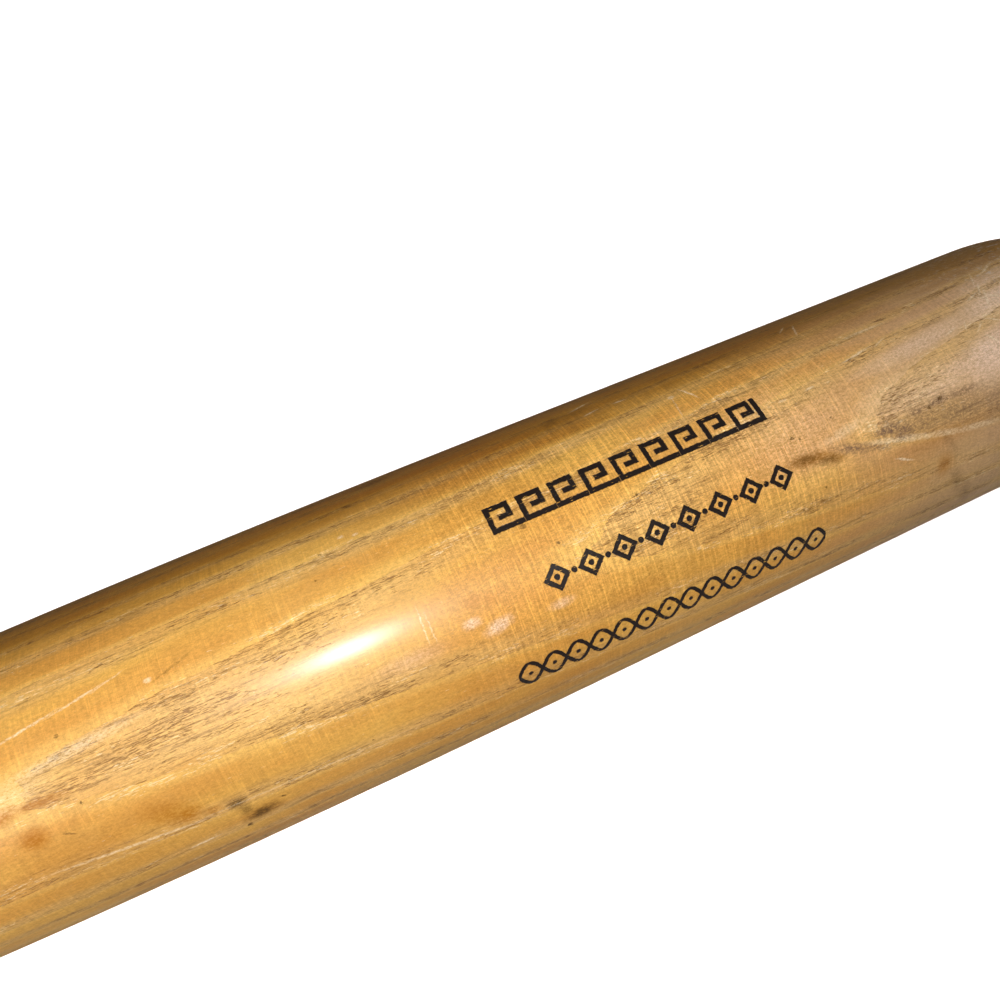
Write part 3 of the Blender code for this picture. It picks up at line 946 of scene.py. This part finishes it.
def painted_shade_group(name):
    """Group for the painted shade on the sides of the barrel: much behind, a little in front."""
    wires, start = new_group(name, "Vector", "Station", "Angle")
    patches = wires.grain(start["Vector"], 30.0, 5.0, detail=3.0, roughness=0.6)
    angle = wires.times_plus(wires.centred(patches), 26.0, start["Angle"])
    along = wires.within(start["Station"], *PAINTED_SHADE_STATIONS)
    return wires.finish_group(
        behind=wires.times(wires.within(angle, *PAINTED_SHADE_ANGLES_BEHIND), along),
        in_front=wires.times(wires.within(angle, *PAINTED_SHADE_ANGLES_IN_FRONT), along),
    )


def new_material(name):
    """Start a material; return it, its wires and its shader."""
    material = bpy.data.materials.new(name)
    material.use_nodes = True
    shader = material.node_tree.nodes["Principled BSDF"]
    return material, Wires(material.node_tree), shader


class WoodPatterns:
    """The patterns that the wood's colour and gloss are made of, each placed in the material once."""

    def __init__(self, wires):
        vector = wires.node("TexCoord").outputs["Object"]
        self.wires = wires
        self.where = wires.use(place_group("Place on Bat"), vector=vector)
        at = {"vector": vector, "station": self.where["Station"], "angle": self.where["Angle"]}
        swing = wires.swing(vector, 1.3, 0.8, detail=3.0, roughness=0.7)
        surface = wires.shifted(self.where["Surface"], swing, 1.6, 1.0)
        calm = wires.shifted(self.where["Surface"], swing, 0.8, 0.5)
        self.rings = wires.use(rings_group("Growth Rings"), vector=vector)
        self.pores = wires.use(
            pores_group("Open Pores"), vector=vector, spring=self.rings["Spring"], line=self.rings["Line"]
        )
        self.fibre = wires.use(fibre_group("Wood Fibre"), vector=vector)
        self.turning = wires.use(turning_group("Turning Lines"), **at)
        self.pale = wires.use(marks_group("Pale Marks", PALE_MARKS), surface=calm)["Mask"]
        self.dark = wires.use(marks_group("Dark Marks", DARK_MARKS), surface=surface)["Mask"]
        self.amber = wires.use(marks_group("Amber Stains", AMBER_MARKS), surface=surface)["Mask"]
        self.mauve_and_edge_reflection = wires.use(marks_group("Mauve Bruises and Edge Reflection", MAUVE_BRUISES_AND_EDGE_REFLECTION), surface=surface)["Mask"]
        self.rubbed = wires.use(marks_group("Rubbed Patches", TAN_MARKS), surface=surface)["Mask"]
        self.side_shade = wires.use(painted_shade_group("Painted Shade on Sides"), **at)
        self.pressed = wires.use(
            ornament_group("Pressed Ornament"), surface=self.where["Surface"], vector=vector
        )
        self.dirt = wires.use(
            shared_group("Handling Dirt", grime_group), vector=vector, patch_length=34.0, amount=0.28
        )
        self.wear = wires.use(tip_wear_group("Tip Wear"), vector=vector, station=self.where["Station"])

    def broken(self, mask, low, high, least, most=1.0):
        """Return a mask that the fine speckle breaks up, down to a least share of it."""
        return self.wires.times(mask, self.wires.ramp(self.fibre["Speckle"], low, high, least, most))

    def glue_stain_and_gap_shade(self):
        """Return the mask from the tape's first turn to the band: partly glue stain, partly painted shade on
        the bare wood in the gaps by the tape.
        """
        first = tape_low.x * MILLIMETRES
        last = band_high.x * MILLIMETRES
        station = self.where["Station"]
        begun = self.wires.ramp(station, first + 1.0, first + 2.5)
        left = self.wires.ramp(station, last - 2.5, last - 1.0, 0.9, 0.0)
        return self.wires.times(begun, left)


def layered(wires, tone, layers):
    """Lay colours over a tone, each by its mask. A layer may name another way of blending."""
    for mask, over, *blend in layers:
        tone = wires.mix(mask, tone, rgba(over), *blend)
    return tone


def wood_grain(wires, wood, seen):
    """Return the colour of the clean wood: year rings, pores and fibre, greyed where it is worn, with painted
    glints in some pores.
    """
    rings, pores, fibre, grey = seen.rings, seen.pores, seen.fibre, seen.wear["Grey"]
    tone = wires.mix(wires.ramp(fibre["Patches"], 0.32, 0.68), rgba(wood.gold), rgba(wood.amber))
    streaks_of_dirt = wires.times(rings["Spring"], wires.ramp(fibre["Streaks"], 0.47, 0.36, 0.0, 0.40))
    tone = layered(wires, tone, (
        (wires.times(grey, 0.62), wood.worn),
        (seen.broken(seen.rubbed, 0.40, 0.60, 0.45), wood.dusty),
        (wires.times(rings["Spring"], wires.ramp(fibre["Silk"], 0.3, 0.7, 0.30, 0.75)), wood.spring),
        (wires.times(rings["Line"], wires.times_plus(grey, -0.26, 0.40)), wood.straw),
        (wires.largest(streaks_of_dirt, wires.times(pores["Dark"], 0.74)), wood.pore),
        # Painted glints: pale dashes in the pores, which stand for light caught in their lacquer
        (wires.times(pores["Bright"], 0.60), wood.painted_glint),
    ))
    streaks = wires.ramp(fibre["Streaks"], 0.25, 0.75, -0.18, 0.18, kind="LINEAR")
    streaks = wires.times_plus(wires.centred(pores["Fibre"]), 0.60, streaks)
    shade = wires.times_plus(streaks, wires.times_plus(rings["Spring"], 0.65, 0.35), 1.0)
    fine = wires.times_plus(seen.turning["Zone"], 0.85, 1.20)
    shade = wires.times_plus(wires.centred(fibre["Speckle"]), fine, shade)
    shade = wires.times_plus(seen.turning["Lines"], 1.30, shade)
    return wires.mix(1.0, tone, wires.grey(shade), "MULTIPLY")


def wood_use(wires, wood, seen, tone):
    """Return the colour of clean wood with its dirt, stains, scuffs, scratches, glue and foil on it, and with
    painted shade on its sides and by the tape and a painted reflection along its lower edge.
    """
    end_grain = wires.ramp(seen.where["Station"], *END_GRAIN_STATIONS, 0.0, 0.45)
    return layered(wires, tone, (
        (wires.times(seen.dirt["Mask"], 0.30), wood.spring),
        (seen.broken(seen.amber, 0.62, 0.42, 0.65), wood.stain),
        # Mauve bruises, and the painted reflection along the lower edge
        (seen.broken(seen.mauve_and_edge_reflection, 0.60, 0.44, 0.30), wood.bruise_and_edge_reflection),
        (seen.broken(seen.dark, 0.64, 0.46, 0.55), wood.grime_and_gap_shade),
        # Painted shade on the back and the front of the barrel, laid on as darker tints
        (seen.side_shade["Behind"], wood.painted_shade_behind, "MULTIPLY"),
        (seen.side_shade["In Front"], wood.painted_shade_in_front, "MULTIPLY"),
        (wires.times(seen.wear["Scuffs"], 0.52), wood.scuff),
        (wires.times(end_grain, seen.rings["Spring"]), wood.pore),
        # Glue stain, and painted shade on the bare wood in the gaps by the tape
        (seen.glue_stain_and_gap_shade(), wood.grime_and_gap_shade),
        (seen.broken(seen.pale, 0.36, 0.60, 0.10, 0.85), wood.scratch),
        (seen.pressed["Mask"], wood.ornament),
    ))


def wood_material(wood):
    """Lacquered ash: clean grain, then the marks of use and the painted shade and reflection, under a coat
    that is thin where it is worn.
    """
    material, wires, shader = new_material("lacquered_ash_finish")
    seen = WoodPatterns(wires)
    wires.put(shader.inputs["Base Color"], wood_use(wires, wood, seen, wood_grain(wires, wood, seen)))
    grey = seen.wear["Grey"]
    foil = seen.pressed["Mask"]
    rough = wires.times_plus(foil, -0.12, wires.times_plus(grey, 0.12, 0.48))
    wires.put(shader.inputs["Roughness"], rough)
    thin = wires.largest(wires.times(grey, 0.45), seen.wear["Scuffs"], seen.pale, seen.dark, foil)
    wires.put(shader.inputs["Coat Weight"], wires.times_plus(thin, -0.24, 0.30))
    shader.inputs["Coat Roughness"].default_value = 0.23
    shader.inputs["Coat IOR"].default_value = 1.46
    shader.inputs["IOR"].default_value = 1.36
    height = wires.times(seen.pores["Dark"], -0.034)
    height = wires.times_plus(seen.pores["Fibre"], 0.030, height)
    height = wires.times_plus(seen.turning["Lines"], 0.030, height)
    height = wires.times_plus(seen.pressed["Depth"], -0.100, height)
    wires.bump(shader, height, 1 / MILLIMETRES)
    arrange(material.node_tree)
    return material


# Height of the threads of the cloth, in metres
CLOTH_RELIEF = 0.00012


def weave_group(name):
    """Group for plain-woven cotton, from a map whose units are metres along and across the tape."""
    wires, start = new_group(name, "Map", "Thread")
    place = wires.split(start["Map"])
    step = wires.over(math.pi, start["Thread"])
    along = wires.maths("SINE", wires.times(place[0], step))
    across = wires.maths("SINE", wires.times(place[1], step))
    warp = wires.unsigned(along)
    weft = wires.unsigned(across)
    crossing = wires.ramp(wires.times(along, across), -0.35, 0.35)
    height = wires.split(wires.mix(crossing, wires.grey(warp), wires.grey(weft)))[0]
    return wires.finish_group(height=height, gaps=wires.fall(wires.maths("MINIMUM", warp, weft), 0.0, 0.42))


def cloth_material(name, tape, rubbed_share):
    """Black cloth tape: weave, rubbed edges, lint and dirt."""
    material, wires, shader = new_material(name)
    vector = wires.node("TexCoord").outputs["Object"]
    cloth_map = wires.node("UVMap", uv_map="tape_map").outputs[0]
    edge = wires.node("Attribute", attribute_name="rubbed").outputs["Fac"]
    weave = wires.use(shared_group("Plain Weave", weave_group), map=cloth_map, thread=tape.thread)
    dirt = wires.use(
        shared_group("Handling Dirt", grime_group), vector=vector, patch_length=18.0, amount=0.55
    )
    lint = wires.noise(vector, scale=2600.0)
    worn = wires.times(edge, wires.ramp(dirt["Fine"], 0.35, 0.65))
    raised = wires.times(wires.ramp(weave["Height"], 0.45, 1.0), wires.largest(worn, dirt["Mask"]))
    tone = layered(wires, rgba(tape.cloth), (
        (wires.times(raised, rubbed_share), tape.rubbed),
        (wires.times(weave["Gaps"], 0.6), tape.gap),
        (wires.ramp(lint, 0.62, 0.80, 0.0, 0.35), tape.rubbed),
    ))
    wires.put(shader.inputs["Base Color"], tone)
    wires.put(shader.inputs["Roughness"], wires.ramp(dirt["Mask"], 0.0, 1.0, 0.86, 0.68))
    shader.inputs["Sheen Weight"].default_value = 0.12
    shader.inputs["Sheen Roughness"].default_value = 0.6
    wires.bump(shader, wires.times_plus(lint, 0.3, weave["Height"]), CLOTH_RELIEF)
    arrange(material.node_tree)
    return material


class BAT_OT_add_wood(bpy.types.Operator):
    """Turn the billet: knob, handle, taper, barrel and tip in one piece of lacquered ash"""

    bl_idname = "bat.add_wood"
    bl_label = "Add Wood"

    def execute(self, context):
        wood = context.scene.bat_wood
        bm = bmesh.new()
        verts = [bm.verts.new((station, -radius, 0.0)) for station, radius in wood_profile(wood)]
        edges = [bm.edges.new(pair) for pair in zip(verts, verts[1:])]
        bmesh.ops.spin(
            bm, geom=verts + edges, cent=(0.0, 0.0, 0.0), axis=(1.0, 0.0, 0.0),
            angle=2 * math.pi, steps=wood.facets, use_merge=True,
        )
        bmesh.ops.remove_doubles(bm, verts=bm.verts, dist=CLOSE)
        for vert in bm.verts:
            wear_surface(vert, wood.unevenness)
        finish_mesh(bm, "billet", wood_material(wood), "bat_body")
        return {"FINISHED"}


def wear_surface(vert, unevenness):
    """Move a point of the turned surface in or out, as sanding and dents have left it."""
    radius = math.hypot(vert.co.y, vert.co.z)
    if radius < CLOSE:
        return
    angle = math.atan2(vert.co.z, -vert.co.y)
    drift = noise.noise(Vector((vert.co.x * 11.0, vert.co.y * 34.0, vert.co.z * 34.0)))
    change = drift * unevenness - dent_depth(vert.co.x, angle, radius)
    vert.co.y *= 1 + change / radius
    vert.co.z *= 1 + change / radius


# As shares of the lap: where a turn starts to come down off the last one, over how much it comes
# down, the same over the slanted end, and how far the slanted end's lower edge is cut back
LAP_DROP_START = 0.9
LAP_DROP = 0.5
CUT_END_DROP = 0.3
CUT_END_INSET = 0.7

# How far the tape sways along the bat and puckers off it, in metres
TAPE_SWAY = 0.00035
TAPE_PUCKER = 0.00010


class BAT_OT_add_grip_tape(bpy.types.Operator):
    """Wind the grip tape: one strip of cloth up the handle, each turn lapped on the last"""

    bl_idname = "bat.add_grip_tape"
    bl_label = "Add Grip Tape"

    def execute(self, context):
        tape = context.scene.bat_tape
        wood_radius = WoodRadius(context.scene.bat_wood)
        lap = tape.width - tape.pitch
        bm, turned = new_strip(tape.turns + tape.end_cut, tape.width, facets=72, rows=18)
        for vert, (turn, along) in turned.items():
            past = max(turn - tape.turns, 0.0)
            lower = min(past / (tape.end_cut / 3), 1.0) * lap * CUT_END_INSET
            upper = tape.width - past * tape.pitch
            along = lower + (upper - lower) * along / tape.width
            drop = LAP_DROP if past == 0.0 else CUT_END_DROP
            lapped = min(turn, 1.0) * (1 - ease((along - lap * LAP_DROP_START) / (lap * drop)))
            rise = lapped * (tape.thickness + tape.lap_gap)
            sway = TAPE_SWAY * noise.noise(Vector((turn * 3.1, along * 60.0, 4.0)))
            pucker = TAPE_PUCKER * noise.noise(Vector((turn * 9.0, along * 220.0, 11.0)))
            station = tape_low.x + turn * tape.pitch + along
            radius = wood_radius(station) + tape.seat_gap + tape.thickness + rise + pucker
            vert.co = on_bat(station + sway, radius, turn)
        finish_strip(bm, tape.thickness)
        material = cloth_material("grip_cloth_finish", tape, rubbed_share=0.85)
        finish_mesh(bm, "wound_tape", material, "grip_tape", sharp_angle=50)
        return {"FINISHED"}


# Mean radius of the tape, for its map. Width of the rubbed border along each of its edges, and how
# much the upper one is rubbed, as a share of the lower one
MAP_RADIUS = 0.0134
LOWER_RUBBED_EDGE = 0.0035
UPPER_RUBBED_EDGE = 0.002
UPPER_RUBBED_SHARE = 0.4


def new_strip(turns, width, facets, rows):
    """Start a flat strip with so many facets a turn and rows across, and a map in metres.

    Return it and each corner's turn and place across.
    """
    bm = bmesh.new()
    bmesh.ops.create_grid(bm, x_segments=round(turns * facets), y_segments=rows, size=0.5)
    map_layer = bm.loops.layers.uv.new("tape_map")
    rubbed_layer = bm.verts.layers.float.new("rubbed")
    turned = {}
    for vert in bm.verts:
        along = (vert.co.y + 0.5) * width
        turned[vert] = ((vert.co.x + 0.5) * turns, along)
        lower = 1 - along / LOWER_RUBBED_EDGE
        upper = UPPER_RUBBED_SHARE * (1 - (width - along) / UPPER_RUBBED_EDGE)
        vert[rubbed_layer] = max(lower, upper, 0.0)
    for face in bm.faces:
        for loop in face.loops:
            turn, along = turned[loop.vert]
            loop[map_layer].uv = (turn * 2 * math.pi * MAP_RADIUS, along)
    return bm, turned


def on_bat(station, radius, turn):
    """Return the point at a station, radius and number of turns round the bat."""
    angle = turn * 2 * math.pi
    return Vector((station, radius * math.cos(angle), radius * math.sin(angle)))


def finish_strip(bm, thickness):
    """Turn a wound strip's faces outwards and give it its thickness, towards the wood."""
    face = next(iter(bm.faces))
    face.normal_update()
    middle = face.calc_center_median()
    outwards = Vector((0.0, middle.y, middle.z))
    if face.normal.dot(outwards) < 0:
        bmesh.ops.reverse_faces(bm, faces=bm.faces)
    for each in bm.faces:
        each.normal_update()
    bmesh.ops.solidify(bm, geom=bm.faces, thickness=thickness)


# Room between the band's two layers and between the tape's edge and the band's slope, and how far
# the band puckers, in metres
BAND_LAYER_GAP = 0.00003
BAND_STEP_GAP = 0.0004
BAND_PUCKER = 0.00008


class BAT_OT_add_end_band(bpy.types.Operator):
    """Wind the finishing band: two straight layers that hold the last turn, with the cut end on top"""

    bl_idname = "bat.add_end_band"
    bl_label = "Add End Band"

    def execute(self, context):
        tape = context.scene.bat_tape
        wood_radius = WoodRadius(context.scene.bat_wood)
        on_tape = tape.thickness + 2 * tape.seat_gap
        bm, turned = new_strip(tape.band_layers, tape.band_width, facets=96, rows=24)
        for vert, (turn, along) in turned.items():
            station = band_low.x + along
            raised = 1 - ease((along - tape.band_lap - BAND_STEP_GAP) / tape.band_step)
            radius = wood_radius(station) + tape.seat_gap + raised * on_tape + tape.band_thickness
            radius += turn * (tape.band_thickness + BAND_LAYER_GAP)
            radius += BAND_PUCKER * noise.noise(Vector((turn * 8.0, along * 240.0, 21.0)))
            vert.co = on_bat(station, radius, turn)
        finish_strip(bm, tape.band_thickness)
        material = cloth_material("band_cloth_finish", tape, rubbed_share=0.6)
        finish_mesh(bm, "finishing_band", material, "grip_end_band", sharp_angle=50)
        return {"FINISHED"}


class BAT_OT_add_stage(bpy.types.Operator):
    """Lay the pale floor, hang the lights and stand the camera"""

    bl_idname = "bat.add_stage"
    bl_label = "Add Stage"

    def execute(self, context):
        stage = context.scene.bat_stage
        add_floor(stage, context.scene.bat_wood)
        add_lights(stage)
        add_floor_light(stage)
        add_room(stage)
        add_camera(stage)
        context.scene.view_settings.view_transform = "Standard"
        return {"FINISHED"}


def add_floor(stage, wood):
    """Add the floor, which touches the barrel and the knob's rim."""
    barrel_station = wood.length - wood.barrel_length
    knob_station = wood.knob_front_round
    rise = (wood.barrel_diameter - wood.knob_diameter) / 2
    tilt = math.atan2(rise, barrel_station - knob_station)
    touch = Vector((barrel_station, 0.0, -wood.barrel_diameter / 2))
    bm = bmesh.new()
    bmesh.ops.create_grid(bm, x_segments=24, y_segments=24, size=stage.floor_size / 2)
    bmesh.ops.rotate(bm, verts=bm.verts, cent=(0.0, 0.0, 0.0), matrix=Matrix.Rotation(tilt, 3, "Y"))
    bmesh.ops.translate(bm, verts=bm.verts, vec=touch)
    mesh = bpy.data.meshes.new("floor")
    bm.to_mesh(mesh)
    bm.free()
    material, wires, shader = new_material("floor_paint")
    vector = wires.node("TexCoord").outputs["Object"]
    mottle = wires.ramp(wires.noise(vector, scale=60.0, detail=3.0), 0.3, 0.7, 0.985, 1.0)
    tone = wires.mix(1.0, rgba(stage.floor_colour), wires.grey(mottle), "MULTIPLY")
    wires.put(shader.inputs["Base Color"], tone)
    shader.inputs["Roughness"].default_value = 0.8
    shader.inputs["Specular IOR Level"].default_value = 0.2
    arrange(material.node_tree)
    mesh.materials.append(material)
    floor = bpy.data.objects.new("floor", mesh)
    bpy.context.scene.collection.objects.link(floor)
    floor.visible_glossy = False
    floor.visible_diffuse = False


def add_light(name, kind, energy):
    """Add a light of a kind; return its object and its data."""
    data = bpy.data.lights.new(name, kind)
    data.energy = energy
    light = bpy.data.objects.new(name, data)
    bpy.context.scene.collection.objects.link(light)
    return light, data


# Where the gleam lies on the barrel, and the way from it to the main light
GLEAM = Vector((0.5588, -0.0116, 0.0260))
TOWARDS_KEY = Vector((-0.054, -0.4582, 0.8872)).normalized()
FILL_SPREAD = math.radians(64.0)
FLOOR_LIGHT_SPREAD = math.radians(50.0)


def add_lights(stage):
    """Add the main light over the gleam, and weak ones in front, behind, below and past both ends."""
    handle = Vector((0.08, 0.0, 0.0))
    up = Vector((0.0, 0.0, 1.0))
    glow_front = Vector((0.64, -0.14, -0.027))
    glow_behind = Vector((0.38, 0.34, -0.027))
    # Each light has its name, place, target, power, width along the bat and height
    lights = (
        ("key_light", GLEAM + TOWARDS_KEY * stage.key_distance, GLEAM, stage.key_power, 0.020, 0.038),
        ("fill_light", handle + Vector((-0.10, -0.42, 0.38)), handle, stage.fill_power, 0.40, 0.25),
        ("back_light", Vector((0.36, 1.10, 0.30)), Vector((0.42, 0.0, 0.0)), stage.back_power, 1.2, 0.4),
        ("floor_glow_front", glow_front, glow_front + up, stage.glow_power, 0.9, 0.22),
        ("floor_glow_behind", glow_behind, glow_behind + up, stage.back_glow_power, 1.6, 0.56),
        ("tip_light", Vector((1.56, 0.10, 0.16)), Vector((0.762, 0.0, 0.0)), stage.tip_power, 0.30, 0.30),
        ("knob_light", Vector((-0.80, -0.20, 0.24)), Vector((0.0, 0.0, 0.0)), stage.knob_power, 0.30, 0.30),
    )
    for name, place, target, energy, width, height in lights:
        light, data = add_light(name, "AREA", energy)
        data.shape = "RECTANGLE"
        data.size = width
        data.size_y = height
        light.location = place
        light.rotation_euler = (place - target).to_track_quat("Z", "Y").to_euler()
        light.visible_glossy = name not in ("back_light", "floor_glow_behind")
        if name == "fill_light":
            data.spread = FILL_SPREAD


def add_floor_light(stage):
    """Add the broad light that whitens the floor and nothing else."""
    light, data = add_light("floor_light", "SUN", stage.floor_light)
    data.angle = FLOOR_LIGHT_SPREAD
    light.location = (0.45, 0.0, 1.3)
    floor_only = bpy.data.collections.new("lit by floor_light")
    floor_only.objects.link(bpy.data.objects["floor"])
    light.light_linking.receiver_collection = floor_only


def add_room(stage):
    """Add the dim room, which the camera itself sees as white."""
    world = bpy.data.worlds.new("room")
    world.use_nodes = True
    wires = Wires(world.node_tree)
    background = world.node_tree.nodes["Background"]
    background.inputs["Color"].default_value = (1.0, 1.0, 1.0, 1.0)
    seen = wires.node("LightPath").outputs["Is Camera Ray"]
    strength = wires.times_plus(seen, 1.0 - stage.room_light, stage.room_light)
    wires.put(background.inputs["Strength"], strength)
    arrange(world.node_tree)
    bpy.context.scene.world = world


def add_camera(stage):
    """Stand the camera close over the barrel, as the photograph was taken."""
    turn = stage.camera_turn
    height = stage.camera_height
    back = Vector((math.sin(turn) * math.cos(height), -math.cos(turn) * math.cos(height), math.sin(height)))
    right = Vector((math.cos(turn), math.sin(turn), 0.0))
    up = back.cross(right)
    data = bpy.data.cameras.new("camera")
    data.lens = stage.camera_lens
    data.sensor_width = 36.0
    data.sensor_fit = "HORIZONTAL"
    data.clip_start = 0.01
    data.clip_end = 30.0
    camera = bpy.data.objects.new("camera", data)
    place = Matrix((right, up, back)).transposed().to_4x4()
    place.translation = Vector(stage.camera_place)
    camera.matrix_world = place
    bpy.context.scene.collection.objects.link(camera)
    bpy.context.scene.camera = camera


class BAT_PT_finish(bpy.types.Panel):
    """Sidebar panel with the bat's pieces, sizes and colours"""

    bl_label = "Wooden Bat"
    bl_idname = "BAT_PT_finish"
    bl_space_type = "VIEW_3D"
    bl_region_type = "UI"
    bl_category = "Bat"

    def draw(self, context):
        for operator in OPERATORS:
            self.layout.operator(operator.bl_idname)
        for settings in SETTINGS:
            box = self.layout.box()
            for name in SETTINGS[settings].__annotations__:
                box.prop(getattr(context.scene, settings), name)


SETTINGS = {
    "bat_wood": BatWoodSettings,
    "bat_tape": BatTapeSettings,
    "bat_stage": BatStageSettings,
}
OPERATORS = (BAT_OT_add_wood, BAT_OT_add_grip_tape, BAT_OT_add_end_band, BAT_OT_add_stage)
CLASSES = (*SETTINGS.values(), *OPERATORS, BAT_PT_finish)


def register():
    """Register the settings, operators and panel."""
    for cls in CLASSES:
        bpy.utils.register_class(cls)
    for name, cls in SETTINGS.items():
        setattr(bpy.types.Scene, name, PointerProperty(type=cls))


def unregister():
    """Take out what register added."""
    for name in SETTINGS:
        delattr(bpy.types.Scene, name)
    for cls in reversed(CLASSES):
        bpy.utils.unregister_class(cls)


def main():
    register()
    bpy.ops.bat.add_wood()
    bpy.ops.bat.add_grip_tape()
    bpy.ops.bat.add_end_band()
    bpy.ops.bat.add_stage()


if __name__ == "__main__":
    main()
